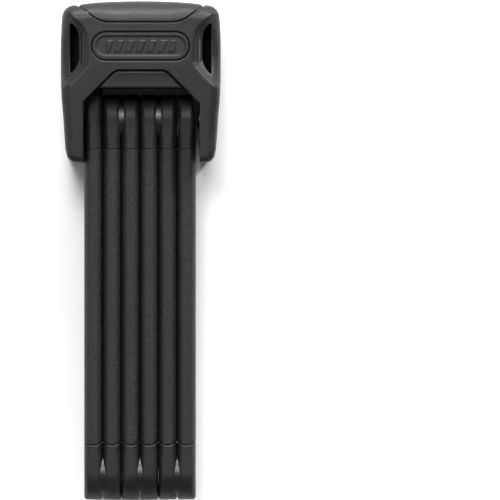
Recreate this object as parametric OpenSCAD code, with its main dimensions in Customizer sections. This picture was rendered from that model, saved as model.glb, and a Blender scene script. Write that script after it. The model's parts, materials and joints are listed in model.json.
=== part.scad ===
// Folding bike lock: six riveted steel links in sheaths, folded into the jaw of a lock body.
// Frame: it lies on its back. X is across the stack of links, Y runs towards the body's top,
// Z is up, out of the front face. Every link turns about an axis along X.

/* [Links] */
// Distance between the two pivots of a link
link_pitch = 145; // [120:1:170]
// Thickness of a sheathed link
link_t = 7.2; // [6.8:0.1:7.3]
// Width of a sheathed link
link_w = 20.4; // [19.4:0.2:21]
// Distance between the middles of two neighbouring links
layer_pitch = 7.6; // [7.5:0.05:7.7]
// Thickness of the steel core of a link
core_t = 5; // [4.5:0.1:5]
// Width of the steel core of a link
core_w = 17; // [15:0.5:17]
// Rounding of the sheath's long edges
sheath_edge_r = 2.6; // [1.5:0.1:3]
// Length of an end cap beyond its pivot, towards the link's middle
cap_reach = 12.2; // [11:0.2:16]

/* [Lock body] */
// Depth of the body, back to front
body_d = 40; // [38:0.5:44]
// Half of the body's largest width
body_half_w = 32.65; // [32.4:0.05:33]
// Height of the dome's middle above the upper pivots
body_rise = 48.4; // [48:0.1:50]
// Depth of the jaw's legs below the upper pivots
leg_drop = 17.5; // [16:0.5:19]
// Rounding of the body's long side edges
body_edge_r = 6; // [4:0.5:7]
// Rounding of the body's top edges, front and back
body_top_r = 9; // [6:0.5:10]

/* [Lock action] */
// Travel of the locking pin out of the right leg
pin_travel = 4; // [3:0.1:4]
// Travel of the keyhole cover
cover_travel = 9; // [8:0.5:9]
// Radius of the locking pin
pin_r = 3.8; // [3:0.1:3.8]
// Radius of the rivets that join the links
rivet_r = 4; // [3.5:0.1:4]

/* [Hidden] */
$fn = 96;

play = 0.15;      // gap between pieces of one body that don't press on each other
running = 0.06;   // radial gap of a pivot
far = 120;        // longer than anything that it cuts

// The folded lock is centred on the origin along Y.
link_r = link_w / 2;
overall_l = link_r + link_pitch + body_rise;
low_y = link_r - overall_l / 2;    // lower pivots
high_y = low_y + link_pitch;       // upper pivots
mid_z = body_d / 2;                // every link's axis
body_pivot_y = high_y + 8;         // link 1 is pinned higher, inside the body
low_seam_y = low_y + cap_reach;
high_seam_y = high_y - cap_reach;

// The stack sits a little to the left, which leaves room beside link 6.
stack_mid_x = -0.35;
function layer_x(k) = stack_mid_x + (k - 3.5) * layer_pitch;
jaw_left_x = layer_x(1) - link_t / 2 - 0.4;
jaw_right_x = layer_x(6) + link_t / 2 + 1.85;
roof_y = high_y + 13.9;
brow_y = high_y + 12.7;

// Rivets and washers between two cores.
washer_r = 9.4;
washer_t = layer_pitch - core_t - 0.1;
head_r = 6.5;
head_t = 1;
head_gap = 0.06;
washer_pocket_r = washer_r + 0.3;
head_pocket_r = head_r + 0.3;
eye_r = pin_r + 0.15;
eye_bush_r = 6.5;

// The body's outline and skins.
dome_y = high_y + body_rise;
leg_y = high_y - leg_drop;
shoulder_y = dome_y - 1.6;
widest_y = high_y + 14.6;
skin = 2.4;
arch_top_y = high_y + 20;
arch_half_w = 10.15;
cap_seam_y = dome_y - 8.6;
oval_y = dome_y - 18.5;
oval_half_w = 20;
oval_r = 5.9;

// The case block and the legs of its fork.
case_half_w = 24;
case_top_y = dome_y - 4.8;
case_z0 = skin + 0.2;
case_z1 = body_d - skin - 0.2;
leg_z0 = 4.2;
leg_z1 = body_d - 4.2;
leg_out_x = 29.4;
chamber_y0 = roof_y + 3.6;
chamber_y1 = chamber_y0 + 2.6;

// The lock cylinder, in the middle of the body, opening at the dome.
plug_r = 5.5;
housing_r = 8;
plug_y0 = chamber_y1 + 2.6;
plug_y1 = case_top_y - 0.4;

// The cam pushes the slider, the slider tips the rocker, and the rocker moves the locking pin.
rocker_x = 27.05;
rocker_y = high_y + 9;
rocker_low = 9;
rocker_high = 6.9;
rocker_half_swing = asin(pin_travel / 2 / rocker_low);
slider_travel = 2 * rocker_high * sin(rocker_half_swing);
cam_offset = slider_travel / 2;
tip_r = 0.8;
cam_pin_r = 1.2;
pin_tip_x = jaw_right_x - 1.2;
pin_tail_x = rocker_x + pin_travel / 2 + 1.65;

// ---- helpers ----

module block(x0, x1, y0, y1, z0, z1)
    translate([x0, y0, z0]) cube([x1 - x0, y1 - y0, z1 - z0]);

module rod_x(x0, x1, r, y, z)
    translate([x0, y, z]) rotate([0, 90, 0]) cylinder(h = x1 - x0, r = r);

module rod_y(y0, y1, r, x, z)
    translate([x, y0, z]) rotate([-90, 0, 0]) cylinder(h = y1 - y0, r = r);

module rod_z(z0, z1, r, x, y)
    translate([x, y, z0]) cylinder(h = z1 - z0, r = r);

// A rectangle with round corners, from squares and circles so that it stays exact.
module rounded_rectangle(w, h, r) {
    square([w - 2 * r, h], center = true);
    square([w, h - 2 * r], center = true);
    for (sx = [-1, 1], sy = [-1, 1])
        translate([sx * (w / 2 - r), sy * (h / 2 - r)]) circle(r);
}

// A slot shape with round ends along X.
module stadium(half_w, r) {
    square([2 * (half_w - r), 2 * r], center = true);
    for (side = [-1, 1]) translate([side * (half_w - r), 0]) circle(r);
}

function arc(cx, cy, r, a0, a1, n) =
    [for (i = [0:n]) let (a = a0 + (a1 - a0) * i / n) [cx + r * cos(a), cy + r * sin(a)]];

function flip_x(points) = [for (i = [len(points) - 1:-1:0]) [-points[i][0], points[i][1]]];

// ---- links ----

module core_shape(x, y0, y1, grow = 0) {
    t = core_t / 2 + grow;
    r = core_w / 2 + grow;
    block(x - t, x + t, y0, y1, mid_z - r, mid_z + r);
    for (y = [y0, y1]) rod_x(x - t, x + t, r, y, mid_z);
}

module sheath_length(x, y0, y1)
    translate([x, y1, mid_z]) rotate([90, 0, 0])
        linear_extrude(y1 - y0) rounded_rectangle(link_t, link_w, sheath_edge_r);

module sheath_end(x, y)
    translate([x, y, mid_z]) rotate([0, 90, 0])
        rotate_extrude() intersection() {
            rounded_rectangle(link_w, link_t, sheath_edge_r);
            translate([0, -link_t]) square([link_w, 2 * link_t]);
        }

function top_y(k) = k == 1 ? body_pivot_y : high_y;
// The bore runs on its rivet where the rivet is fixed to the piece before it.
function low_bore(k) = rivet_r + (k % 2 == 0 ? running : 0.02);
function high_bore(k) = k == 6 ? eye_bush_r + 0.02 : rivet_r + (k % 2 == 1 ? running : 0.02);

module link_core(k)
    color("silver") difference() {
        core_shape(layer_x(k), low_y, top_y(k));
        rod_x(layer_x(k) - core_t, layer_x(k) + core_t, low_bore(k), low_y, mid_z);
        rod_x(layer_x(k) - core_t, layer_x(k) + core_t, high_bore(k), top_y(k), mid_z);
    }

module link_sleeve(k)
    color([0.16, 0.16, 0.16]) difference() {
        sheath_length(layer_x(k), low_seam_y, high_seam_y);
        core_shape(layer_x(k), low_y, top_y(k), 0.02);
    }

// Opens a cap's side face for a washer or a rivet head. side is -1 on the left and 1 on the right.
module face_pocket(k, y, side, r) {
    x0 = layer_x(k) + side * core_t / 2;
    x1 = layer_x(k) + side * link_t;
    rod_x(min(x0, x1), max(x0, x1), r, y, mid_z);
}

module link_end_caps(k) {
    x = layer_x(k);
    // At each end, one side faces the joint's washer and the other shows the rivet's head.
    low_washer_side = k % 2 == 1 ? 1 : -1;
    high_washer_side = k % 2 == 1 ? -1 : 1;
    color([0.13, 0.13, 0.13]) difference() {
        union() {
            sheath_end(x, low_y);
            sheath_length(x, low_y, low_seam_y - 0.05);
            sheath_end(x, top_y(k));
            sheath_length(x, high_seam_y + 0.05, top_y(k));
        }
        core_shape(x, low_y, top_y(k), 0.02);
        face_pocket(k, low_y, low_washer_side, washer_pocket_r);
        face_pocket(k, low_y, -low_washer_side, head_pocket_r);
        if (k == 6) {
            face_pocket(k, high_y, 1, eye_bush_r + 0.02);
            link_6_lead_in();
        } else {
            face_pocket(k, top_y(k), high_washer_side, washer_pocket_r);
            face_pocket(k, top_y(k), -high_washer_side, head_pocket_r);
        }
    }
}

// The last link's free end is tapered on its outer side, so that it slips past the locking pin.
module link_6_lead_in() {
    face_x = layer_x(6) + link_t / 2;
    linear_extrude(body_d)
        polygon([[face_x + 0.1, high_y], [face_x + 0.1, high_y + 11], [face_x - 1.7, high_y + 11]]);
}

module link_6_eye_bush()
    color("silver") difference() {
        rod_x(layer_x(6) - core_t / 2, layer_x(6) + link_t / 2 - play, eye_bush_r, high_y, mid_z);
        rod_x(layer_x(6) - link_t, layer_x(6) + link_t, eye_r, high_y, mid_z);
        link_6_lead_in();
    }

// ---- rivets ----

// The rivet between links k and k + 1 is fixed to link k and turns in link k + 1.
function joint_y(k) = k % 2 == 1 ? low_y : high_y;

module rivet(k) {
    x0 = layer_x(k) - core_t / 2;
    x1 = layer_x(k + 1) + core_t / 2 + head_gap;
    color("gainsboro") {
        rod_x(x0 - head_t, x0, head_r, joint_y(k), mid_z);
        rod_x(x0, x1, rivet_r, joint_y(k), mid_z);
        rod_x(x1, x1 + head_t, head_r, joint_y(k), mid_z);
    }
}

module washer(k) {
    x0 = layer_x(k) + core_t / 2;
    color("gainsboro") difference() {
        rod_x(x0, x0 + washer_t, washer_r, joint_y(k), mid_z);
        rod_x(x0 - 1, x0 + washer_t + 1, rivet_r + 0.02, joint_y(k), mid_z);
    }
}

module body_rivet() {
    x1 = layer_x(1) + core_t / 2 + head_gap;
    color("gainsboro") {
        rod_x(-leg_out_x, -leg_out_x + 1.5, head_r, body_pivot_y, mid_z);
        rod_x(-leg_out_x, x1, rivet_r, body_pivot_y, mid_z);
        rod_x(x1, x1 + head_t, head_r, body_pivot_y, mid_z);
    }
}

module body_washer()
    color("gainsboro") difference() {
        rod_x(jaw_left_x, layer_x(1) - core_t / 2 - 0.1, washer_r, body_pivot_y, mid_z);
        rod_x(jaw_left_x - 1, layer_x(1), rivet_r + 0.02, body_pivot_y, mid_z);
    }

// ---- outer shape of the lock body ----

function side_x(y) = body_half_w - (y > widest_y ? 0.00088 : 0.00304) * pow(y - widest_y, 2);

module body_outline() {
    corner_low = arc(24.9, leg_y + 5.6, 5.6, -90, -3, 10);
    corner_high = arc(26.4, shoulder_y - 5.5, 5.5, 6, 90, 10);
    side_y0 = leg_y + 6.5;
    side_y1 = shoulder_y - 5.6;
    side = [for (i = [0:8]) let (y = side_y0 + (side_y1 - side_y0) * i / 8) [side_x(y), y]];
    dome = [for (x = [24:-4:0]) [x, dome_y - 1.5 * pow(x / 24, 2)]];
    right = concat([[0, leg_y]], corner_low, side, corner_high, dome);
    polygon(concat(right, flip_x([for (i = [1:len(right) - 2]) right[i]])));
}

// The outline seen from the front, rounded by the side view and by the top view.
module body_solid()
    intersection() {
        linear_extrude(body_d) body_outline();
        rotate([90, 0, 90]) translate([0, 0, -far / 2]) linear_extrude(far)
            side_view();
        rotate([90, 0, 0]) translate([0, mid_z, -far]) linear_extrude(2 * far)
            rounded_rectangle(66, body_d, body_edge_r);
    }

// Y to the right and Z up: large round corners at the dome, small ones at the legs.
module side_view() {
    r = body_top_r;
    leg_r = 2.5;
    translate([leg_y + leg_r, 0]) square([dome_y - leg_y - leg_r - r, body_d]);
    translate([leg_y, r]) square([dome_y - leg_y, body_d - 2 * r]);
    translate([leg_y, leg_r]) square([10, body_d - 2 * leg_r]);
    for (z = [r, body_d - r]) translate([dome_y - r, z]) circle(r);
    for (z = [leg_r, body_d - leg_r]) translate([leg_y + leg_r, z]) circle(leg_r);
}

// The jaw between the legs, with 45 degree shoulders up to the arch.
module jaw_cut()
    linear_extrude(body_d + 2) translate([0, 0])
        polygon([
            [jaw_left_x, leg_y - 5], [jaw_left_x, arch_top_y + jaw_left_x + arch_half_w],
            [-arch_half_w, arch_top_y], [arch_half_w, arch_top_y],
            [jaw_right_x, arch_top_y - jaw_right_x + arch_half_w], [jaw_right_x, leg_y - 5]
        ]);

module cap_outline(grow = 0)
    polygon([
        [-23.9 - grow, dome_y + 5], [-23.9 - grow, dome_y - 3 - grow],
        [-18.4, dome_y - 7 - grow], [-14.6, cap_seam_y - grow], [14.6, cap_seam_y - grow],
        [18.4, dome_y - 7 - grow], [23.9 + grow, dome_y - 3 - grow], [23.9 + grow, dome_y + 5]
    ]);

// Hollows both sides of both faces: a round scoop with a D-shaped pocket at its bottom.
module side_scoops()
    for (side = [-1, 1]) {
        for (z = [-8, body_d + 8]) translate([side * 34.8, oval_y - 1.3, z]) sphere(16.1);
        intersection() {
            union() {
                rod_z(-1, 14, 16.5, side * 41.7, oval_y - 1.2);
                rod_z(body_d - 14, body_d + 1, 16.5, side * 41.7, oval_y - 1.2);
            }
            block(side > 0 ? 24 : -28.9, side > 0 ? 28.9 : -24, roof_y, dome_y, -2, body_d + 2);
        }
    }

// The room that the case and the moving parts take inside the shells.
module case_room() {
    block(-case_half_w - play, case_half_w + play, high_y, case_top_y + play,
        case_z0 - play, case_z1 + play);
    for (side = [-1, 1])
        block(side > 0 ? 20 : -leg_out_x - play, side > 0 ? leg_out_x + play : -20,
            leg_y + 7.9, roof_y, leg_z0 - play, leg_z1 + play);
    // room for the body rivet's head
    rod_x(-leg_out_x - play, -20, head_r + 2 * play, body_pivot_y, mid_z);
    // room for the rocker, the slider's end and the locking pin's tail
    block(20, pin_tail_x + 0.2, high_y - 4.2, high_y + 4.2, mid_z - 4.2, mid_z + 4.2);
    block(20, 30.9, high_y + 3, chamber_y1 + 0.3, mid_z - 4.2, mid_z + 4.2);
}

module badge_recess(z0, z1)
    translate([0, oval_y, z0]) linear_extrude(z1 - z0) stadium(oval_half_w, oval_r);

module screw_holes(r)
    for (x = [-14, 14]) rod_z(-1, body_d + 1, r, x, oval_y);

module shell() {
    difference() {
        body_solid();
        translate([0, 0, -1]) jaw_cut();
        translate([0, 0, -1]) linear_extrude(body_d + 2) cap_outline(play);
        side_scoops();
        case_room();
        badge_recess(-1, 1.3);
        badge_recess(body_d - 1.3, body_d + 1);
        screw_holes(1.6);
        for (x = [-14, 14]) {
            rod_z(-1, 1.9, 2.95, x, oval_y);
            rod_z(body_d - 1.9, body_d + 1, 2.95, x, oval_y);
        }
    }
}

module front_shell()
    color([0.1, 0.1, 0.1]) intersection() {
        shell();
        block(-far, far, -far, far, mid_z + 0.05, far);
    }

module rear_shell()
    color([0.1, 0.1, 0.1]) intersection() {
        shell();
        block(-far, far, -far, far, -far, mid_z - 0.05);
    }

module badge(z0, z1, rim_z0, rim_z1)
    color([0.12, 0.12, 0.12]) union() {
        translate([0, oval_y, z0]) linear_extrude(z1 - z0) stadium(oval_half_w - 0.3, oval_r - 0.3);
        translate([0, oval_y, rim_z0]) linear_extrude(rim_z1 - rim_z0) difference() {
            stadium(oval_half_w - 0.3, oval_r - 0.3);
            stadium(oval_half_w - 2.2, oval_r - 2.2);
        }
    }

module front_badge() badge(body_d - 1.25, body_d - 0.5, body_d - 0.6, body_d - 0.05);

module rear_badge() badge(0.5, 1.25, 0.05, 0.6);

// The sunk panel that closes the arch above the jaw.
module arch_panel(z0, z1)
    color([0.11, 0.11, 0.11]) intersection() {
        translate([0, -0.15, -1]) jaw_cut();
        block(-far, far, brow_y, arch_top_y - play, z0, z1);
    }

module front_arch_panel() arch_panel(case_z1 + 0.1, body_d - 0.8);

module rear_arch_panel() arch_panel(0.8, case_z0 - 0.1);

module shell_screws()
    color("dimgray") for (x = [-14, 14]) {
        rod_z(1.35, 1.85, 2.8, x, oval_y);
        rod_z(1.35, case_z0 + 6, 1.5, x, oval_y);
        rod_z(body_d - 1.85, body_d - 1.35, 2.8, x, oval_y);
        rod_z(case_z1 - 6, body_d - 1.35, 1.5, x, oval_y);
    }

// ---- cap and keyhole cover ----

cover_half_l = 7;
cover_y0 = dome_y - 3.3;

// The channel for the keyhole cover: a wide groove under two lips.
module cover_channel(gap) {
    x0 = -cover_half_l - 0.3;
    x1 = cover_half_l + cover_travel + 0.3;
    block(x0, x1, cover_y0 - gap, cover_y0 + 0.9 + gap, mid_z - 7 - gap, mid_z + 7 + gap);
    block(x0, x1, cover_y0 - gap, dome_y + 2, mid_z - 5.4 - gap, mid_z + 5.4 + gap);
}

module top_cap()
    color([0.1, 0.1, 0.1]) difference() {
        intersection() {
            body_solid();
            linear_extrude(body_d) cap_outline();
        }
        block(-case_half_w - play, case_half_w + play, high_y, case_top_y + play,
            case_z0 - play, case_z1 + play);
        cover_channel(0.15);
        rod_y(case_top_y, dome_y, 5.2, 0, mid_z);
    }

module keyhole_cover()
    color([0.14, 0.14, 0.14]) {
        block(-cover_half_l, cover_half_l, cover_y0, cover_y0 + 0.9, mid_z - 7, mid_z + 7);
        block(-cover_half_l, cover_half_l, cover_y0, dome_y - 0.75, mid_z - 5.4, mid_z + 5.4);
        for (x = [-4, -2, 0, 2, 4])
            block(x - 0.5, x + 0.5, dome_y - 0.8, dome_y - 0.2, mid_z - 4.2, mid_z + 4.2);
    }

// ---- inner case ----

module lock_case()
    color([0.25, 0.25, 0.25]) difference() {
        union() {
            block(-case_half_w, case_half_w, roof_y, case_top_y, case_z0, case_z1);
            block(-leg_out_x, jaw_left_x, leg_y + 8.1, roof_y - play, leg_z0, leg_z1);
            block(-case_half_w, jaw_left_x, roof_y - 1, roof_y, leg_z0, leg_z1);
            block(jaw_right_x, leg_out_x, leg_y + 8.1, roof_y - play, leg_z0, leg_z1);
            block(jaw_right_x - 1.5, case_half_w, roof_y - 0.1, roof_y, leg_z0, leg_z1);
            block(jaw_right_x - 0.2, jaw_right_x + 0.2, roof_y - 1, roof_y + 1, leg_z0, leg_z1);
        }
        // link 1's end turns in a pocket of its own
        block(jaw_left_x, layer_x(1) + layer_pitch / 2, roof_y - 5, body_pivot_y + link_r + 0.6,
            0, body_d);
        rod_x(-far / 2, 0, rivet_r + 0.02, body_pivot_y, mid_z);
        rod_x(-far / 2, -leg_out_x + 1.52, head_r + play, body_pivot_y, mid_z);
        guard_seat(play);
        mechanism_room();
        rod_y(plug_y0 - 0.5, dome_y, housing_r + 0.02, 0, mid_z);
        rod_z(case_z0 + 4, case_z1 + 1, 1.52, housing_r, oval_y - 4);
        screw_holes(1.55);
    }

module guard_seat(gap)
    block(layer_x(1) + layer_pitch / 2 + 1 - gap, jaw_right_x - 1.2 + gap, roof_y - 1,
        chamber_y0 - 0.8 + gap, 6 - gap, body_d - 6 + gap);

// Closes the chamber of the mechanism from the jaw's side.
module guard_plate()
    color("gray") intersection() {
        guard_seat(0);
        block(-far, far, roof_y, far, 0, body_d);
    }

module mechanism_room() {
    // chamber of the cam and the slider
    block(-9, jaw_right_x, chamber_y0 - 1.5, chamber_y1, mid_z - 6.3, mid_z + 6.7);
    rod_y(chamber_y0, plug_y0, 6.6, 0, mid_z);
    // way out to the leg
    block(jaw_right_x - 1, far, rocker_y + 1.6, chamber_y1, mid_z - 3.9, mid_z + 3.9);
    // the rocker's slot and the locking pin's way
    block(24.7, far, high_y, rocker_y + 2.4, mid_z - 1.3, mid_z + 1.3);
    rod_x(jaw_right_x - 1, far, pin_r + 1.3, high_y, mid_z);
    rod_z(mid_z - 6, mid_z + 6, 1.02, rocker_x, rocker_y);
}

module pin_bush()
    color("goldenrod") difference() {
        rod_x(jaw_right_x, jaw_right_x + 2.6, pin_r + 1.28, high_y, mid_z);
        rod_x(jaw_right_x - 1, far, pin_r + running, high_y, mid_z);
        block(24.7, far, high_y, high_y + 10, mid_z - 1.3, mid_z + 1.3);
    }

module rocker_axle()
    color("gainsboro") rod_z(mid_z - 5.9, mid_z + 5.9, 1, rocker_x, rocker_y);

// ---- lock cylinder ----

module cylinder_housing()
    color("goldenrod") difference() {
        rod_y(plug_y0 + 0.1, plug_y1 + 0.2, housing_r, 0, mid_z);
        rod_y(plug_y0 - 1, dome_y, plug_r + running, 0, mid_z);
        rod_z(case_z0, case_z1 + 1, 1.52, housing_r, oval_y - 4);
    }

module cylinder_retaining_pin()
    color("gainsboro") rod_z(case_z0 + 4.1, case_z1 - 0.1, 1.5, housing_r, oval_y - 4);

module cylinder_plug()
    color("goldenrod") difference() {
        rod_y(plug_y0, plug_y1, plug_r, 0, mid_z);
        rod_y(plug_y0 + 2, plug_y1 - 1.8, plug_r - 0.8, 0, mid_z);
        key_slot(plug_y1 - 2, plug_y1 + 1);
    }

// A half-round keyway, as for a disc cylinder.
module key_slot(y0, y1)
    intersection() {
        rod_y(y0, y1, 2.9, 0, mid_z);
        block(-1.6, 1.6, y0, y1, 0, body_d);
    }

module detainer_discs() {
    disc_pitch = (plug_y1 - plug_y0 - 4) / 8;
    color("khaki") for (i = [0:7]) {
        y = plug_y0 + 2.1 + i * disc_pitch;
        difference() {
            rod_y(y, y + disc_pitch - 0.3, plug_r - 0.9, 0, mid_z);
            key_slot(y - 1, y + disc_pitch);
        }
    }
}

module drive_cam()
    color("gray") {
        rod_y(chamber_y1 - 0.1, plug_y0, 5.2, 0, mid_z);
        rod_y(chamber_y0 - 0.2, chamber_y1, cam_pin_r, -cam_offset, mid_z + cam_offset);
    }

module drive_slider() {
    y0 = chamber_y0 + 0.2;
    y1 = chamber_y1 - 0.3;
    end_x = rocker_x - cam_offset;
    color("gray") difference() {
        union() {
            block(-6, 4, y0, y1, mid_z - 3, mid_z + 6.2);
            block(3, end_x + 2, y0, y1, mid_z - 3, mid_z + 3);
            block(end_x - 2, end_x + 2, rocker_y + 5, y1, mid_z - 3, mid_z + 3);
        }
        block(-cam_offset - cam_pin_r - play, -cam_offset + cam_pin_r + play, y0 - 1, y1 + 1,
            mid_z, mid_z + 4.6);
        tip_slot(end_x, rocker_y + rocker_high, 1.3, -0.5, -2.6, 0.35);
    }
}

// ---- rocker and locking pin ----

// The slot that a tip of the rocker works in. It flares from y1 to y2, where the lever tilts.
module tip_slot(x, y, y0, y1, y2, flare) {
    w = tip_r + play;
    translate([x, y, mid_z - 1.2]) linear_extrude(2.4)
        polygon([[-w, y0], [w, y0], [w, y1], [w + flare, y2], [-w - flare, y2], [-w, y1]]);
}

module rocker_lever() {
    neck = 0.5;
    right = [[neck, -rocker_low], [neck, 4 - rocker_low], [1.4, -1.5], [1.4, 1.5],
        [neck, rocker_high - 2.3], [neck, rocker_high]];
    color("gray") translate([rocker_x, rocker_y, mid_z - 1]) rotate([0, 0, rocker_half_swing])
        linear_extrude(2) difference() {
            union() {
                circle(2.2);
                polygon(concat(right, flip_x(right)));
                translate([0, -rocker_low]) circle(tip_r);
                translate([0, rocker_high]) circle(tip_r);
            }
            circle(1 + running);
        }
}

module locking_pin() {
    slot_x = rocker_x + pin_travel / 2;
    color("gainsboro") difference() {
        union() {
            rod_x(pin_tip_x + 1, pin_tail_x, pin_r, high_y, mid_z);
            translate([pin_tip_x, high_y, mid_z]) rotate([0, 90, 0])
                rotate_extrude() polygon([[0, 0], [2.6, 0], [pin_r, 1], [0, 1]]);
        }
        tip_slot(slot_x, high_y, -1.6, 0.6, 5, 0.7);
    }
}

// ---- output ----

lock_case();
guard_plate();
front_shell();
rear_shell();
top_cap();
front_arch_panel();
rear_arch_panel();
front_badge();
rear_badge();
shell_screws();
cylinder_housing();
cylinder_retaining_pin();
body_rivet();
body_washer();
pin_bush();
rocker_axle();
cylinder_plug();
detainer_discs();
drive_cam();
keyhole_cover();
drive_slider();
rocker_lever();
locking_pin();
link_6_eye_bush();

for (k = [1:6]) {
    link_core(k);
    link_sleeve(k);
    link_end_caps(k);
}

for (k = [1:5]) {
    rivet(k);
    washer(k);
}
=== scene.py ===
import json
import math

import bpy
import numpy as np
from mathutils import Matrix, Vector


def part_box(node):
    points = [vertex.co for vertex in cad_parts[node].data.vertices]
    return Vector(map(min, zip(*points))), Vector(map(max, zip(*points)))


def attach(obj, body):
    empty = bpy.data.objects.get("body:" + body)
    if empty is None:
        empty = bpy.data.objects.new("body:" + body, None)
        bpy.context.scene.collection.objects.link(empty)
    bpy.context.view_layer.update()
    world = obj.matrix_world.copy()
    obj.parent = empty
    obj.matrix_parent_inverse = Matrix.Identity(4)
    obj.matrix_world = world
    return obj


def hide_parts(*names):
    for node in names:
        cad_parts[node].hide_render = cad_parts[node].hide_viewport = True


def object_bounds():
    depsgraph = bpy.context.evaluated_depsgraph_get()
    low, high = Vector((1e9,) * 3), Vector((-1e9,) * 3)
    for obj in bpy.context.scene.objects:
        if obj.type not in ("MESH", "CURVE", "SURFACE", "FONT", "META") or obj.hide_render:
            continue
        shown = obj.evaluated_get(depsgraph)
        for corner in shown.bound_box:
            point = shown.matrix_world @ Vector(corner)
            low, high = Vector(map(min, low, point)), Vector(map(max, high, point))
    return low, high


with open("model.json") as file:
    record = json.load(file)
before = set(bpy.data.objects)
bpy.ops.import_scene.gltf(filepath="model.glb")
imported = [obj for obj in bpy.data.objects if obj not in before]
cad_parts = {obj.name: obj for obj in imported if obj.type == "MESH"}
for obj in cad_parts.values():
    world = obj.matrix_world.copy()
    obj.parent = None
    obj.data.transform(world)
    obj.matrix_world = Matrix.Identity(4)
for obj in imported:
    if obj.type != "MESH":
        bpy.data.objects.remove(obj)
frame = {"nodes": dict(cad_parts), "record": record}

# Lengths are in millimetres here; every mesh is scaled to metres as it is made.
MM = 0.001
cad_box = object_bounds()


def box_mm(node):
    low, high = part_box(node)
    return np.array(low) / MM, np.array(high) / MM


def middle(node):
    low, high = box_mm(node)
    return (low + high) / 2


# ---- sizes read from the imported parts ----

DEPTH = box_mm("front_shell")[1][2]
MID = DEPTH / 2
DOME_Y = box_mm("top_cap")[1][1]
LEG_Y = box_mm("front_shell")[0][1]
HIGH_Y = middle("washer_2_3")[1]
LOW_Y = middle("washer_1_2")[1]
BODY_PIVOT_Y = middle("body_rivet")[1]
LAYER_X = [middle(f"link_{k}_core")[0] for k in range(1, 7)]
LINK_T = box_mm("link_2_sleeve")[1][0] - box_mm("link_2_sleeve")[0][0]
LINK_W = box_mm("link_2_sleeve")[1][2] - box_mm("link_2_sleeve")[0][2]
CORE_T = box_mm("link_2_core")[1][0] - box_mm("link_2_core")[0][0]
CORE_W = box_mm("link_2_core")[1][2] - box_mm("link_2_core")[0][2]
SEAM_LOW = box_mm("link_2_sleeve")[0][1]
SEAM_HIGH = box_mm("link_2_sleeve")[1][1]
WASHER_R = (box_mm("washer_2_3")[1][2] - box_mm("washer_2_3")[0][2]) / 2
HEAD_R = (box_mm("rivet_2_3")[1][2] - box_mm("rivet_2_3")[0][2]) / 2
OVAL_Y = middle("front_badge")[1]
COVER_LOW, COVER_HIGH = box_mm("keyhole_cover")
JAW_LEFT = LAYER_X[0] - LINK_T / 2 - 0.4
JAW_RIGHT = LAYER_X[5] + LINK_T / 2 + 1.85
ARCH_TOP = HIGH_Y + 20.2
BROW_Y = HIGH_Y + 12.7

FULL_T = LINK_T + 0.38      # a link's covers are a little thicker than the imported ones
EDGE_X, EDGE_Z = 2.8, 5.2   # a link's long edges fall away as quarter ellipses
WALL_GAP = 0.17             # half of a seam between two mouldings


# ---- signed distances, negative inside ----

def smooth_max(a, b, k):
    h = np.clip(0.5 + 0.5 * (a - b) / k, 0, 1)
    return b + (a - b) * h + k * h * (1 - h)


def cut(a, b, k=0.05):
    return smooth_max(a, -b, k)


def join(a, b, k=0.05):
    return -smooth_max(-a, -b, k)


def step(t, low, high):
    t = np.clip((t - low) / (high - low), 0, 1)
    return t * t * (3 - 2 * t)


def polygon(x, y, points):
    best = np.full(np.broadcast(x, y).shape, 1e9)
    sign = np.ones_like(best)
    for (ax, ay), (bx, by) in zip(points, points[1:] + points[:1]):
        ex, ey = bx - ax, by - ay
        wx, wy = x - ax, y - ay
        t = np.clip((wx * ex + wy * ey) / (ex * ex + ey * ey), 0, 1)
        best = np.minimum(best, (wx - ex * t) ** 2 + (wy - ey * t) ** 2)
        above, below, left = y >= ay, y < by, ex * wy > ey * wx
        sign = np.where((above & below & left) | (~above & ~below & ~left), -sign, sign)
    return sign * np.sqrt(best)


def segment(x, y, a, b):
    ex, ey = b[0] - a[0], b[1] - a[1]
    wx, wy = x - a[0], y - a[1]
    t = np.clip((wx * ex + wy * ey) / (ex * ex + ey * ey), 0, 1)
    return np.hypot(wx - ex * t, wy - ey * t)


def stadium(x, y, half_w, r):
    return np.hypot(np.maximum(np.abs(x) - (half_w - r), 0), y) - r


def block(x, y, z, low, high, r=0.0):
    q = [np.maximum(l + r - c, c - h + r) for c, l, h in zip((x, y, z), low, high)]
    outside = np.sqrt(sum(np.maximum(c, 0) ** 2 for c in q))
    return outside + np.minimum(np.maximum(np.maximum(q[0], q[1]), q[2]), 0) - r


def rounded(a, b, r):
    """Where two distances are both inside, with a round edge of radius r between them."""
    a, b = a + r, b + r
    return np.hypot(np.maximum(a, 0), np.maximum(b, 0)) + np.minimum(np.maximum(a, b), 0) - r


def elliptic(a, b, ra, rb):
    """As rounded, with a quarter ellipse for the edge."""
    qa, qb = a / ra + 1, b / rb + 1
    return (np.hypot(np.maximum(qa, 0), np.maximum(qb, 0)) + np.minimum(np.maximum(qa, qb), 0) - 1) * ra


def arc(cx, cy, r, a0, a1, n):
    angles = [math.radians(a0 + (a1 - a0) * i / n) for i in range(n + 1)]
    return [(cx + r * math.cos(a), cy + r * math.sin(a)) for a in angles]


def both_sides(right):
    """A closed outline from its right half, which starts and ends on the middle line."""
    return right + [(-x, y) for x, y in reversed(right) if x > 1e-6]


# ---- distance to mesh ----

CORNERS = [(i, j, k) for k in (0, 1) for j in (0, 1) for i in (0, 1)]
EDGES = [(a, b) for a in range(8) for b in range(a + 1, 8)
         if sum(p != q for p, q in zip(CORNERS[a], CORNERS[b])) == 1]
TETRA = [(1, -1, -1), (-1, -1, 1), (-1, 1, -1), (1, 1, 1)]


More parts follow.
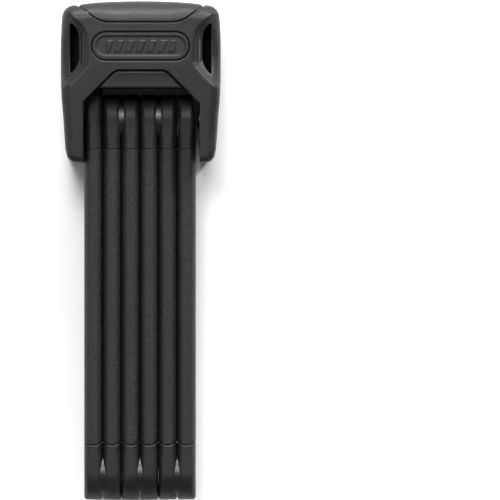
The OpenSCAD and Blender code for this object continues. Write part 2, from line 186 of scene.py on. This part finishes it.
def skin(shape, low, high, size):
    """Points, quads and normals of the surface where shape is 0, on a grid with cells of that size."""
    low = np.array(low, float) - 1.5 * size
    count = np.ceil((np.array(high, float) + 1.5 * size - low) / size).astype(int) + 1
    axes = [low[i] + size * np.arange(count[i]) for i in range(3)]
    x, y, z = axes[0][:, None, None], axes[1][None, :, None], axes[2][None, None, :]
    field = np.broadcast_to(shape(x, y, z), tuple(count)).astype(np.float32)
    inside = field < 0
    cells = tuple(count - 1)
    total = np.zeros(cells, np.uint8)
    for i, j, k in CORNERS:
        total += inside[i:i + cells[0], j:j + cells[1], k:k + cells[2]]
    active = (total > 0) & (total < 8)
    at = np.argwhere(active)
    values = np.stack([field[tuple((at + c).T)] for c in CORNERS], 1)
    place, hits = np.zeros((len(at), 3)), np.zeros(len(at))
    for a, b in EDGES:
        fa, fb = values[:, a], values[:, b]
        crosses = (fa < 0) != (fb < 0)
        t = np.where(crosses, fa / np.where(crosses, fa - fb, 1), 0)
        ca, cb = np.array(CORNERS[a]), np.array(CORNERS[b])
        place += np.where(crosses[:, None], ca + t[:, None] * (cb - ca), 0)
        hits += crosses
    points = low + size * (at + place / hits[:, None])
    number = np.full(cells, -1, np.int64)
    number[active] = np.arange(len(at))
    quads = []
    for axis in range(3):
        u, v = (axis + 1) % 3, (axis + 2) % 3
        first = [slice(1, -1)] * 3
        second = [slice(1, -1)] * 3
        first[axis], second[axis] = slice(0, -1), slice(1, None)
        start, end = inside[tuple(first)], inside[tuple(second)]
        hit = np.argwhere(start != end)
        hit += [0 if i == axis else 1 for i in range(3)]
        ring = []
        for du, dv in ((1, 1), (0, 1), (0, 0), (1, 0)):
            cell = hit.copy()
            cell[:, u] -= du
            cell[:, v] -= dv
            ring.append(number[tuple(cell.T)])
        ring = np.stack(ring, 1)
        leaving = inside[tuple(hit.T)]
        quads.append(np.where(leaving[:, None], ring, ring[:, ::-1]))
    quads = np.concatenate(quads)
    reach = 0.04
    for last in (False, False, True):
        samples = [shape(*(points + reach * np.array(t)).T) for t in TETRA]
        slope = sum(s[:, None] * np.array(t, float) for s, t in zip(samples, TETRA)) / (4 * reach)
        length = np.maximum(np.linalg.norm(slope, axis=1), 0.2)[:, None]
        if last:
            return points, quads, slope / np.maximum(np.linalg.norm(slope, axis=1), 1e-9)[:, None]
        move = -(sum(samples) / 4)[:, None] * slope / length ** 2
        points = points + np.clip(move, -0.5 * size, 0.5 * size)


def to_object(name, points, faces, normals=None):
    faces = np.asarray(faces, np.int32)
    mesh = bpy.data.meshes.new(name)
    mesh.vertices.add(len(points))
    mesh.vertices.foreach_set("co", (np.asarray(points) * MM).astype(np.float32).ravel())
    width = faces.shape[1]
    mesh.loops.add(faces.size)
    mesh.loops.foreach_set("vertex_index", faces.ravel())
    mesh.polygons.add(len(faces))
    mesh.polygons.foreach_set("loop_start", np.arange(0, faces.size, width, dtype=np.int32))
    mesh.polygons.foreach_set("loop_total", np.full(len(faces), width, np.int32))
    mesh.update(calc_edges=True)
    mesh.validate()
    mesh.polygons.foreach_set("use_smooth", np.full(len(mesh.polygons), True))
    if normals is not None and len(mesh.vertices) == len(normals):
        mesh.normals_split_custom_set_from_vertices([tuple(n) for n in normals])
    made = bpy.data.objects.new(name, mesh)
    bpy.context.scene.collection.objects.link(made)
    return made


def shifted(made, offset):
    points, faces, normals = made
    return points + np.array(offset), faces, normals


def turned_over(made):
    """The same surface on the back of the lock body."""
    points, faces, normals = made
    flip = np.array([1, 1, -1])
    return points * flip + np.array([0, 0, DEPTH]), faces[:, ::-1], normals * flip


def settle(made, name, body, node, material):
    """Puts a made surface in the scene in place of a CAD node."""
    piece = to_object(name, *made)
    piece.data.materials.append(material)
    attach(piece, body)
    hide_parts(node)
    return piece


# ---- materials ----

def new_material(name):
    material = bpy.data.materials.new(name)
    material.use_nodes = True
    tree = material.node_tree
    tree.nodes.clear()
    output = tree.nodes.new("ShaderNodeOutputMaterial")
    shader = tree.nodes.new("ShaderNodeBsdfPrincipled")
    tree.links.new(shader.outputs[0], output.inputs[0])
    return material, tree, shader


def noise(tree, scale, detail=3.0, stretch=(1, 1, 1), roughness=0.55):
    """Noise over object coordinates, which are metres; scale is in features per metre."""
    place = tree.nodes.new("ShaderNodeTexCoord")
    mapping = tree.nodes.new("ShaderNodeMapping")
    mapping.inputs["Scale"].default_value = stretch
    texture = tree.nodes.new("ShaderNodeTexNoise")
    texture.inputs["Scale"].default_value = scale
    texture.inputs["Detail"].default_value = detail
    texture.inputs["Roughness"].default_value = roughness
    tree.links.new(place.outputs["Object"], mapping.inputs["Vector"])
    tree.links.new(mapping.outputs[0], texture.inputs["Vector"])
    return texture.outputs[0]


def ramp(tree, value, low, high, a, b):
    node = tree.nodes.new("ShaderNodeMapRange")
    node.inputs["From Min"].default_value = low
    node.inputs["From Max"].default_value = high
    node.inputs["To Min"].default_value = a
    node.inputs["To Max"].default_value = b
    tree.links.new(value, node.inputs["Value"])
    return node.outputs[0]


def blended(tree, factor, a, b):
    node = tree.nodes.new("ShaderNodeMix")
    node.data_type = "RGBA"
    node.inputs[6].default_value = (*a, 1)
    node.inputs[7].default_value = (*b, 1)
    tree.links.new(factor, node.inputs[0])
    return node.outputs[2]


def combined(tree, a, b, kind="MULTIPLY"):
    node = tree.nodes.new("ShaderNodeMath")
    node.operation = kind
    tree.links.new(a, node.inputs[0])
    tree.links.new(b, node.inputs[1])
    return node.outputs[0]


def bumped(tree, shader, height, distance):
    node = tree.nodes.new("ShaderNodeBump")
    node.inputs["Distance"].default_value = distance
    node.inputs["Strength"].default_value = 1.0
    tree.links.new(height, node.inputs["Height"])
    tree.links.new(node.outputs[0], shader.inputs["Normal"])


PLASTIC_IOR = 1.46
RUBBED_EDGE = 0.5     # how far the lighter colour of a rubbed edge covers the base
RUBBED_LIGHTER = 2.2  # and how much lighter it is


def moulded(name, dark, light, rough, grain, grain_depth):
    """Moulded plastic: fine grain, cloudy colour, and rubbed edges that are a little lighter."""
    material, tree, shader = new_material(name)
    clouds = noise(tree, 90, 4)
    speck = noise(tree, 2600, 2)
    worn = tree.nodes.new("ShaderNodeNewGeometry").outputs["Pointiness"]
    worn = ramp(tree, worn, 0.515, 0.60, 0.0, RUBBED_EDGE)
    worn = combined(tree, worn, ramp(tree, noise(tree, 700, 4), 0.35, 0.65, 0.2, 1.0))
    base = blended(tree, ramp(tree, clouds, 0.3, 0.7, 0.0, 1.0), dark, light)
    mix = tree.nodes.new("ShaderNodeMix")
    mix.data_type = "RGBA"
    mix.inputs[7].default_value = (*(c * RUBBED_LIGHTER for c in light), 1)
    tree.links.new(worn, mix.inputs[0])
    tree.links.new(base, mix.inputs[6])
    tree.links.new(mix.outputs[2], shader.inputs["Base Color"])
    rub = ramp(tree, noise(tree, 160, 5, (1, 3, 1)), 0.3, 0.7, rough - 0.06, rough + 0.07)
    tree.links.new(rub, shader.inputs["Roughness"])
    height = combined(tree, noise(tree, grain, 3), ramp(tree, speck, 0, 1, 0.7, 1.0))
    bumped(tree, shader, height, grain_depth)
    shader.inputs["IOR"].default_value = PLASTIC_IOR
    shader.inputs["Specular IOR Level"].default_value = 0.34
    return material


def sheath_material(name, dark, light):
    """The links' cover: a dull weave-like grain drawn out along the link."""
    material, tree, shader = new_material(name)
    strands = noise(tree, 900, 5, (1, 0.05, 1), 0.7)
    flecks = noise(tree, 1500, 3, (1, 0.35, 1), 0.6)
    both = combined(tree, strands, flecks, "ADD")
    base = blended(tree, ramp(tree, both, 0.75, 1.25, 0.0, 1.0), dark, light)
    tree.links.new(base, shader.inputs["Base Color"])
    tree.links.new(ramp(tree, flecks, 0.3, 0.7, 0.5, 0.66), shader.inputs["Roughness"])
    bumped(tree, shader, both, 0.00022)
    shader.inputs["IOR"].default_value = PLASTIC_IOR
    shader.inputs["Specular IOR Level"].default_value = 0.4
    return material


def metal(name, colour, rough, stretch, scale=900, dark=0.75, depth=0.00003):
    """Bare metal with the fine marks that its machining left."""
    material, tree, shader = new_material(name)
    marks = noise(tree, scale, 5, stretch, 0.65)
    stain = noise(tree, 130, 4)
    base = blended(tree, ramp(tree, stain, 0.3, 0.75, 0.0, 1.0), tuple(c * dark for c in colour), colour)
    tree.links.new(base, shader.inputs["Base Color"])
    tree.links.new(ramp(tree, marks, 0.3, 0.7, rough - 0.08, rough + 0.1), shader.inputs["Roughness"])
    bumped(tree, shader, marks, depth)
    shader.inputs["Metallic"].default_value = 1.0
    return material


SHELL = moulded("shell_plastic", (0.0060, 0.0060, 0.0062), (0.0085, 0.0085, 0.0088), 0.45, 2200, 0.00004)
PANEL = moulded("panel_plastic", (0.0060, 0.0060, 0.0063), (0.0090, 0.0090, 0.0093), 0.48, 1900, 0.00005)
SHEATH = sheath_material("sheath", (0.004, 0.004, 0.004), (0.012, 0.012, 0.012))
CAP = moulded("end_cap_plastic", (0.0055, 0.0055, 0.0055), (0.0095, 0.0095, 0.0095), 0.52, 1500, 0.00009)
STEEL = metal("steel", (0.27, 0.27, 0.268), 0.34, (1, 0.15, 1))
# Painted shade: the washers' steel is made much darker than the other steel, standing in for the shade in
# the narrow valleys between the links.
WASHER = metal("washer_steel_shaded", (0.055, 0.055, 0.057), 0.40, (0.2, 1, 1), 1200, 0.8)
# Painted shade: a dark bluish colour standing in for the shadow in the roof of the jaw and beside the
# first link's pivot.
SHADE_DARK = moulded("shade_dark_steel", (0.0050, 0.0062, 0.0090), (0.0075, 0.0090, 0.0125), 0.62, 900, 0.00006)
CORE = metal("core_steel", (0.40, 0.41, 0.42), 0.36, (1, 0.08, 1))
BRASS = metal("brass", (0.72, 0.52, 0.24), 0.26, (1, 0.2, 1))
CASE = metal("die_casting", (0.045, 0.046, 0.05), 0.50, (1, 1, 1), 500, 0.6, 0.00008)

SLOT_MATERIAL = {"steel": STEEL, "brass": BRASS, "die_cast": CASE, "shell": SHELL, "panel": PANEL,
                 "sleeve": SHEATH, "end_cap": CAP}
for row in frame["record"]["subparts"]:
    node = frame["nodes"][row["node"]]
    chosen = SLOT_MATERIAL[row["material_slot"]]
    # Washers get the darkened steel that carries painted shade.
    if row["node"].startswith("washer"):
        chosen = WASHER
    # The guard plate, body washer and body rivet take the painted shade colour.
    elif row["node"] in ("body_washer", "guard_plate", "body_rivet"):
        chosen = SHADE_DARK
    elif row["node"].endswith("core"):
        chosen = CORE
    node.data.materials.clear()
    node.data.materials.append(chosen)


# ---- lock body ----

SIDE = [(30.2, 38.8), (30.7, 41.4), (31.1, 46.5), (31.7, 55.5), (32.2, 60.5), (32.45, 65), (32.6, 70),
        (32.65, 78), (32.6, 86), (32.4, 92), (32.2, 94.8)]
OUTLINE = both_sides(
    [(0, LEG_Y)] + arc(26.4, LEG_Y + 3.9, 3.9, -90, -14, 8) + SIDE + arc(27.0, 95.0, 5.15, 4, 92, 10)
    + [(24.4, DOME_Y - 1.35), (21, DOME_Y - 0.85), (17.4, DOME_Y - 0.55), (12, DOME_Y - 0.25),
       (6, DOME_Y - 0.06), (0, DOME_Y)])
JAW = [(JAW_LEFT, LEG_Y - 9), (JAW_LEFT, ARCH_TOP + JAW_LEFT + 10.4), (-12.6, ARCH_TOP - 2.15),
       (-11.2, ARCH_TOP - 0.85), (-9.6, ARCH_TOP - 0.12), (-8.6, ARCH_TOP),
       (8.6, ARCH_TOP), (9.6, ARCH_TOP - 0.12), (11.2, ARCH_TOP - 0.85), (12.6, ARCH_TOP - 2.15),
       (JAW_RIGHT, ARCH_TOP - JAW_RIGHT + 10.4), (JAW_RIGHT, LEG_Y - 9)]
CAP_EDGE = both_sides(
    [(0, DOME_Y - 8.65), (13.6, DOME_Y - 8.65), (15.2, DOME_Y - 8.5), (16.6, DOME_Y - 8.05),
     (18.8, DOME_Y - 6.85), (21.5, DOME_Y - 4.75), (24.2, DOME_Y - 2.65), (25.6, DOME_Y - 1.6),
     (25.6, DOME_Y + 9), (0, DOME_Y + 9)])
SCOOP = [(90, 97.2), (31.8, 96.3), (29.0, 95.7), (26.3, 93.6), (24.3, 91.6), (22.8, 89.5), (22.0, 87.0),
         (21.6, 83.1), (21.4, 79.3), (21.5, 76.8), (22.3, 75.1), (25.1, 71.6), (28.9, 68.0), (31.4, 66.6),
         (90, 34)]
POCKET_WALL_X = 28.75       # outer wall of a pocket
POCKET = [(POCKET_WALL_X, 72.3), (POCKET_WALL_X, 92.7), (27.6, 92.3), (26.4, 90.9), (25.5, 88.9),
          (25.15, 86.6), (25.1, 80.0), (25.3, 77.6), (26.0, 75.4), (27.2, 73.5), (28.3, 72.35)]
POCKET_FLOOR = 5.0          # above the middle plane, at the outer wall
POCKET_SLOPE = 1.3
SCOOP_DEPTH, SCOOP_RUN, SCOOP_SOFT = 5.6, 4.6, 0.3
GROOVE_DEPTH, GROOVE_W = 0.3, 0.22
NOTCH_X, NOTCH_Y = 25.55, DOME_Y - 2.35
CASE_Z = 17.4               # half depth of the case
ROOM_Z = CASE_Z + 0.2       # half depth of the room for it
ROOM_X, ROOM_TOP = 24.2, DOME_Y - 4.6
LEG_ROOM_X = (20, 29.6)
LEG_ROOM_Y = (LEG_Y + 7.9, 67.4)
LEG_WALL = 4.0
ACTION_X, ACTION_TOP, ACTION_HALF = 30.78, 74.0, 4.1
SCREW_X, SCREW_R = 14, 1.6
KEYHOLE_R = 5.2
COVER_TRAVEL = 9.0
COVER_PLAY, COVER_END_PLAY = 0.15, 0.3
LID_HALF = 5.4              # half depth of the keyhole's lid
BADGE_SEAT = (20.05, 5.9)   # half width and end radius of each oval
BADGE_PLATE = (19.72, 5.57)
BADGE_FIELD = (18.2, 3.95)
BADGE_BACK = MID + CASE_Z + 1.2


def crown(x, y):
    """How far the face falls back from the flat towards the dome and the sides."""
    return 0.75 * step(y, 73, 101) + 0.25 * (np.abs(x) / 32) ** 2


def half_depth(x, y):
    """From the middle plane to the face, with a scoop in each side and a groove at one corner."""
    inset = -polygon(np.abs(x), y, SCOOP)
    inset = SCOOP_SOFT * np.log1p(np.exp(np.clip(inset / SCOOP_SOFT, -30, 30)))
    scoop = SCOOP_DEPTH * (1 - np.exp(-inset / SCOOP_RUN))
    groove = GROOVE_DEPTH * np.exp(-(segment(x, y, (25.3, 99.1), (22.2, 96.2)) / GROOVE_W) ** 2)
    return MID - crown(x, y) - scoop - groove


def outer(x, y, z):
    dome = step(y, 84, 99) * (1 - 0.4 * step(np.abs(x), 9, 21))
    radius = 2.4 + 1.6 * step(y, LEG_Y, LEG_Y + 12) + 5.0 * dome
    body = polygon(x, y, OUTLINE)
    height = half_depth(x, y)
    shape = rounded(body, np.abs(z - MID) - height, radius)
    notch = np.abs(np.abs(x) - NOTCH_X) * 0.75 - (y - NOTCH_Y) * 0.65
    return cut(shape, notch, 0.5)


def middle_room(x, y, z, low_y):
    return block(x, y, z, (-ROOM_X, low_y, MID - ROOM_Z), (ROOM_X, ROOM_TOP, MID + ROOM_Z))


def case_room(x, y, z):
    """What the case, its legs and the lock action take up inside the shells."""
    legs = block(np.abs(x), y, z, (LEG_ROOM_X[0], LEG_ROOM_Y[0], LEG_WALL),
                 (LEG_ROOM_X[1], LEG_ROOM_Y[1], DEPTH - LEG_WALL))
    action = block(x, y, z, (LEG_ROOM_X[0], HIGH_Y - ACTION_HALF, MID - ACTION_HALF),
                   (ACTION_X, ACTION_TOP, MID + ACTION_HALF))
    return np.minimum(np.minimum(middle_room(x, y, z, HIGH_Y), action), legs)


def cap_gap(x):
    """Half of the seam round the cap. It closes at the ends, where there is nothing behind it."""
    return WALL_GAP - (WALL_GAP + 0.02) * step(np.abs(x), 21.8, 23.2)


def shell(x, y, z):
    shape = outer(x, y, z)
    shape = cut(shape, polygon(x, y, JAW), 0.55)
    shape = cut(shape, polygon(x, y, CAP_EDGE) - cap_gap(x), 0.35)
    floor_z = MID + POCKET_FLOOR + POCKET_SLOPE * (POCKET_WALL_X - np.abs(x))
    shape = cut(shape, np.maximum(polygon(np.abs(x), y, POCKET), floor_z - z), 0.45)
    shape = cut(shape, case_room(x, y, z), 0.02)
    seat = np.maximum(stadium(x, y - OVAL_Y, *BADGE_SEAT), BADGE_BACK - z)
    shape = cut(shape, seat, 0.6)
    shape = cut(shape, np.hypot(np.abs(x) - SCREW_X, y - OVAL_Y) - SCREW_R, 0.02)
    return smooth_max(shape, MID + 0.05 - z, 0.3)


CELL = 0.36
FINE_CELL = 0.24
front = skin(shell, (-32.7, LEG_Y, MID), (32.7, DOME_Y, DEPTH), CELL)
settle(front, "front_cover", "housing", "front_shell", SHELL)
settle(turned_over(front), "rear_cover", "housing", "rear_shell", SHELL)


def cap(x, y, z):
    shape = outer(x, y, z)
    shape = smooth_max(shape, polygon(x, y, CAP_EDGE) + cap_gap(x), 0.35)
    shape = cut(shape, middle_room(x, y, z, 60))
    near_x, far_x = COVER_LOW[0] - COVER_END_PLAY, COVER_HIGH[0] + COVER_TRAVEL + COVER_END_PLAY
    low_y = COVER_LOW[1] - COVER_PLAY
    shape = cut(shape, block(x, y, z, (near_x, low_y, COVER_LOW[2] - COVER_PLAY),
                             (far_x, low_y + 1.2, COVER_HIGH[2] + COVER_PLAY)))
    way_half = LID_HALF + COVER_PLAY
    way = block(x, y, z, (near_x, low_y, MID - way_half), (far_x, DOME_Y + 3, MID + way_half))
    shape = cut(shape, way, 0.4)
    keyhole = np.maximum(np.hypot(x, z - MID) - KEYHOLE_R, DOME_Y - 6 - y)
    return cut(shape, keyhole, 0.3)


settle(skin(cap, (-26.5, DOME_Y - 8.8, 0), (26.5, DOME_Y, DEPTH), CELL), "cap_cover", "housing", "top_cap",
       SHELL)


def keyhole_lid(x, y, z):
    """The sliding cover: a wide foot in the cap's groove and a ribbed lid that fills the way."""
    foot = block(x, y, z, COVER_LOW, (COVER_HIGH[0], COVER_LOW[1] + 0.9, COVER_HIGH[2]), 0.15)
    top = DOME_Y - 0.55 - 0.2 * (x / 7) ** 2
    body = np.maximum(block(x, y, z, (COVER_LOW[0], COVER_LOW[1], MID - LID_HALF),
                            (COVER_HIGH[0], DOME_Y, MID + LID_HALF), 0.3), y - top)
    ribs = np.abs((x + 1) % 2 - 1) - 0.5
    ribs = np.maximum(np.maximum(ribs, np.abs(x) - 5), np.abs(z - MID) - 4.2)
    body = cut(body, np.maximum(ribs, DOME_Y - 1.0 - y), 0.25)
    return join(foot, body, 0.1)


settle(skin(keyhole_lid, COVER_LOW, (COVER_HIGH[0], DOME_Y, COVER_HIGH[2]), 0.22), "keyhole_lid", "cover",
       "keyhole_cover", PANEL)


RIB_PITCH, RIB_HALF_W, RIB_LEAN, RIB_HEIGHT = 4.4, 1.25, 0.35, 0.24
BADGE_SUNK, BADGE_FLOOR = 0.12, 0.38


def badge(x, y, z):
    """An oval plate that is blank but for a row of slanted ribs."""
    v = y - OVAL_Y
    floor = BADGE_FLOOR * step(-stadium(x, v - 0.15, *BADGE_FIELD), -0.3, 0.35)
    along = (x - RIB_LEAN * v + RIB_PITCH / 2) % RIB_PITCH - RIB_PITCH / 2
    ribs = np.maximum(np.abs(along) - RIB_HALF_W, np.maximum(np.abs(x) - 14, np.abs(v) - 2.35))
    raised = RIB_HEIGHT * step(-ribs, -0.25, 0.25)
    top = MID + (MID - crown(x, y)) - BADGE_SUNK - floor + raised
    shape = smooth_max(stadium(x, v, *BADGE_PLATE), z - top, 0.4)
    return smooth_max(shape, BADGE_BACK + 0.05 - z, 0.05)


plate = skin(badge, (-19.8, OVAL_Y - 5.7, BADGE_BACK), (19.8, OVAL_Y + 5.7, DEPTH), FINE_CELL)
settle(plate, "front_plate", "housing", "front_badge", PANEL)
settle(turned_over(plate), "rear_plate", "housing", "rear_badge", PANEL)


ARCH_GAP = 0.28
ARCH_FACE = 19.35     # its height above the middle plane at the top


def arch(x, y, z):
    """The panel over the jaw. Its face sinks a little towards the links."""
    shape = smooth_max(polygon(x, y, JAW) + ARCH_GAP, BROW_Y - y, 0.9)
    face = MID + ARCH_FACE - 0.13 * (ARCH_TOP - y) + 0.012 * (ARCH_TOP - y) ** 2
    shape = smooth_max(shape, z - face, 1.1)
    return smooth_max(shape, MID + CASE_Z + 0.12 - z, 0.1)


panel = skin(arch, (-18.5, BROW_Y, MID + CASE_Z), (18.5, ARCH_TOP, DEPTH), FINE_CELL)
settle(panel, "front_arch", "housing", "front_arch_panel", PANEL)
settle(turned_over(panel), "rear_arch", "housing", "rear_arch_panel", PANEL)


# ---- links ----

CORE_PLAY = 0.02               # round a core, in what covers it
WASHER_PLAY, HEAD_PLAY = 0.05, 0.08
SEAM_GAP = 0.12
PIVOT_EDGE = (0.6, 0.8)        # how much smaller a long edge is beside a pivot, in X and Z
TIP_EDGE = (1.0, 3.0)          # and how much smaller again round the tip
LEAD_SLOPE = 0.1636            # taper of the last link's outer side, which slips past the locking pin
SEAM_BEVEL = 0.18
SLEEVE_STEPS = 24


def seam_bend(x):
    """The lower seam is bowed: lowest in the middle of a link's face."""
    return 0.1 + 0.9 * (x / (LINK_T / 2)) ** 2


def end_cap(pivot_to_seam, up, washer_side, head_side, eye=False):
    """One end cap round its pivot at the origin. up is 1 where the link goes on towards +Y."""
    core_half, core_r = CORE_T / 2 + CORE_PLAY, CORE_W / 2 + CORE_PLAY
    pocket_floor = core_half - 0.05

    def shape(x, y, z):
        along = y * up
        radius = np.hypot(y, z)
        w = np.where(along > 0, np.abs(z), radius)
        tip = np.where(along > 0, 0, (along / np.maximum(radius, 1e-6)) ** 4)
        near = 1 - step(along, 3, 11)
        edge_x = EDGE_X - PIVOT_EDGE[0] * near - TIP_EDGE[0] * tip
        edge_z = EDGE_Z - PIVOT_EDGE[1] * near - TIP_EDGE[1] * tip
        body = elliptic(np.abs(x) - FULL_T / 2, w - LINK_W / 2, edge_x, edge_z)
        end = pivot_to_seam + (seam_bend(x) if up > 0 else 0) - SEAM_GAP
        soft = 0.2 + (0.7 if up > 0 else 0.1) * step(np.abs(z), 8.8, 10.0)
        body = smooth_max(body, along - end, soft)
        body = cut(body, np.maximum(np.abs(x) - core_half, w - core_r), 0.02)
        pocket = np.maximum(radius - (WASHER_R + WASHER_PLAY), pocket_floor - x * washer_side)
        body = cut(body, pocket, 0.04)
        if eye:
            body = cut(body, np.maximum(radius - HEAD_R - 0.02, pocket_floor - x), 0.2)
            lead = (x - LINK_T / 2 - 0.1) + LEAD_SLOPE * y
            return smooth_max(body, lead, 0.3)
        head = np.maximum(radius - (HEAD_R + HEAD_PLAY), pocket_floor - x * head_side)
        return cut(body, head, 0.04)

    reach = pivot_to_seam + 1.2
    low = (-FULL_T / 2, -LINK_W / 2 if up > 0 else -reach, -LINK_W / 2)
    high = (FULL_T / 2, reach if up > 0 else LINK_W / 2, LINK_W / 2)
    return skin(shape, low, high, FINE_CELL)


low_reach = SEAM_LOW - LOW_Y
made_caps = {}
for k in range(1, 7):
    odd = k % 2 == 1
    top_y = BODY_PIVOT_Y if k == 1 else HIGH_Y
    low_key = "low odd" if odd else "low even"
    high_key = {1: "first", 6: "last"}.get(k, "high odd" if odd else "high even")
    if low_key not in made_caps:
        side = 1 if odd else -1
        made_caps[low_key] = end_cap(low_reach, 1, side, -side)
    if high_key not in made_caps:
        side = -1 if odd else 1
        made_caps[high_key] = end_cap(top_y - SEAM_HIGH, -1, side if k != 6 else -1, -side, k == 6)
    lower = shifted(made_caps[low_key], (LAYER_X[k - 1], LOW_Y, MID))
    upper = shifted(made_caps[high_key], (LAYER_X[k - 1], top_y, MID))
    points = np.concatenate([lower[0], upper[0]])
    faces = np.concatenate([lower[1], upper[1] + len(lower[0])])
    normals = np.concatenate([lower[2], upper[2]])
    settle((points, faces, normals), f"link_{k}_ends", f"link_{k}", f"link_{k}_end_caps", CAP)


def rounded_loop(w, h, ra, rb, per_corner=12, per_side=5):
    """Points round a rectangle of width w and height h with elliptic corners, anticlockwise."""
    corners = []
    for i, (cx, cy) in enumerate([(1, 1), (-1, 1), (-1, -1), (1, -1)]):
        angles = [math.radians(90 * (i + t / per_corner)) for t in range(per_corner + 1)]
        corners.append([(cx * (w / 2 - ra) + ra * math.cos(a), cy * (h / 2 - rb) + rb * math.sin(a))
                        for a in angles])
    loop = []
    for i in range(4):
        (ax, ay), (bx, by) = corners[i][-1], corners[(i + 1) % 4][0]
        loop += corners[i] + [(ax + (bx - ax) * t / per_side, ay + (by - ay) * t / per_side)
                              for t in range(1, per_side)]
    return np.array(loop)


def sleeve_mesh():
    """A tube round the core: rings along Y from the lower seam to the upper one, then back inside."""
    full = rounded_loop(FULL_T, LINK_W, EDGE_X, EDGE_Z)
    bevel = rounded_loop(FULL_T - 2 * SEAM_BEVEL, LINK_W - 2 * SEAM_BEVEL, EDGE_X - SEAM_BEVEL,
                         EDGE_Z - SEAM_BEVEL)
    bore = rounded_loop(CORE_T + 2 * CORE_PLAY, CORE_W + 2 * CORE_PLAY, 0.4, 0.4)
    length = SEAM_HIGH - SEAM_LOW
    rings = [(bore, 0.0, 1.0), (bevel, 0.0, 1.0), (full, 0.2, 1.0), (full, 1.5, 0.9), (full, 4.0, 0.4),
             (full, 8.0, 0.0)]
    rings += [(full, length * t / SLEEVE_STEPS, 0.0) for t in range(2, SLEEVE_STEPS)]
    rings += [(full, length - 0.2, 0.0), (bevel, length, 0.0), (bore, length, 0.0)]
    points = []
    for loop, y, bend in rings:
        for x, z in loop:
            points.append((x, SEAM_LOW + y + bend * seam_bend(x), z + MID))
    n, m = len(full), len(rings)
    faces = []
    for i in range(m):
        j = (i + 1) % m
        for a in range(n):
            b = (a + 1) % n
            faces.append((i * n + a, j * n + a, j * n + b, i * n + b))
    return np.array(points), np.array(faces)


sleeve_points, sleeve_faces = sleeve_mesh()
for k in range(1, 7):
    made = (sleeve_points + np.array([LAYER_X[k - 1], 0, 0]), sleeve_faces)
    piece = settle(made, f"link_{k}_sheath", f"link_{k}", f"link_{k}_sleeve", SHEATH)
    sharp = piece.modifiers.new("edges", "EDGE_SPLIT")
    sharp.split_angle = math.radians(38)


# ---- floor, light and camera ----

# Lengths from here on are in metres.
FLOOR_HALF = 6
FLOOR_DROP = 0.0002

floor_level = cad_box[0].z - FLOOR_DROP
floor_mesh = bpy.data.meshes.new("floor")
floor_mesh.from_pydata([(FLOOR_HALF * x, FLOOR_HALF * y, floor_level) for x, y in
                        ((-1, -1), (1, -1), (1, 1), (-1, 1))], [], [(0, 1, 2, 3)])
floor = bpy.data.objects.new("floor", floor_mesh)
bpy.context.scene.collection.objects.link(floor)
floor_material, tree, shader = new_material("floor_white")
patches = ramp(tree, noise(tree, 3, 2), 0.3, 0.7, 0, 1)
floor_colour = blended(tree, patches, (0.86, 0.86, 0.86), (0.9, 0.9, 0.9))
tree.links.new(floor_colour, shader.inputs["Base Color"])
shader.inputs["Roughness"].default_value = 0.9
shader.inputs["Specular IOR Level"].default_value = 0.1
floor.data.materials.append(floor_material)

world = bpy.data.worlds.new("studio")
world.use_nodes = True
background = world.node_tree.nodes["Background"]
background.inputs["Color"].default_value = (1, 1, 1, 1)
background.inputs["Strength"].default_value = 0.20
bpy.context.scene.world = world


def softbox(name, place, target, width, height, power):
    light = bpy.data.lights.new(name, "AREA")
    light.shape = "RECTANGLE"
    light.size, light.size_y = width, height
    light.energy = power
    made = bpy.data.objects.new(name, light)
    made.location = place
    made.rotation_mode = "QUATERNION"
    made.rotation_quaternion = (Vector(target) - Vector(place)).to_track_quat("-Z", "Y")
    made.visible_camera = False
    bpy.context.scene.collection.objects.link(made)


softbox("light_front", (-0.35, 1.25, 2.5), (0, 0, 0), 0.9, 0.9, 56)
softbox("light_top", (0.1, 2.6, 1.1), (0, 0.05, 0), 2.6, 0.7, 135)
softbox("light_right", (1.8, 1.7, 1.2), (0, 0.07, 0.02), 0.6, 0.6, 62)
softbox("light_left", (-2.3, 0.0, 1.3), (0, 0, 0), 1.0, 1.6, 11)
softbox("light_low", (0.9, -2.4, 1.8), (0, 0, 0), 1.6, 1.0, 5)

CAMERA_DISTANCE = 8.0    # from the lock's middle plane
FRAME_WIDTH = 0.2045     # what the picture shows at that plane
FRAME_CENTRE = (0.04462, 0.00014)

camera = bpy.data.cameras.new("camera")
camera.sensor_width = 36
camera.lens = camera.sensor_width * CAMERA_DISTANCE / FRAME_WIDTH
camera.clip_start, camera.clip_end = 0.1, 30
viewer = bpy.data.objects.new("camera", camera)
viewer.location = (*FRAME_CENTRE, MID * MM + CAMERA_DISTANCE)
viewer.rotation_euler = (0, 0, 0)
bpy.context.scene.collection.objects.link(viewer)
bpy.context.scene.camera = viewer
bpy.context.scene.view_settings.view_transform = "Standard"
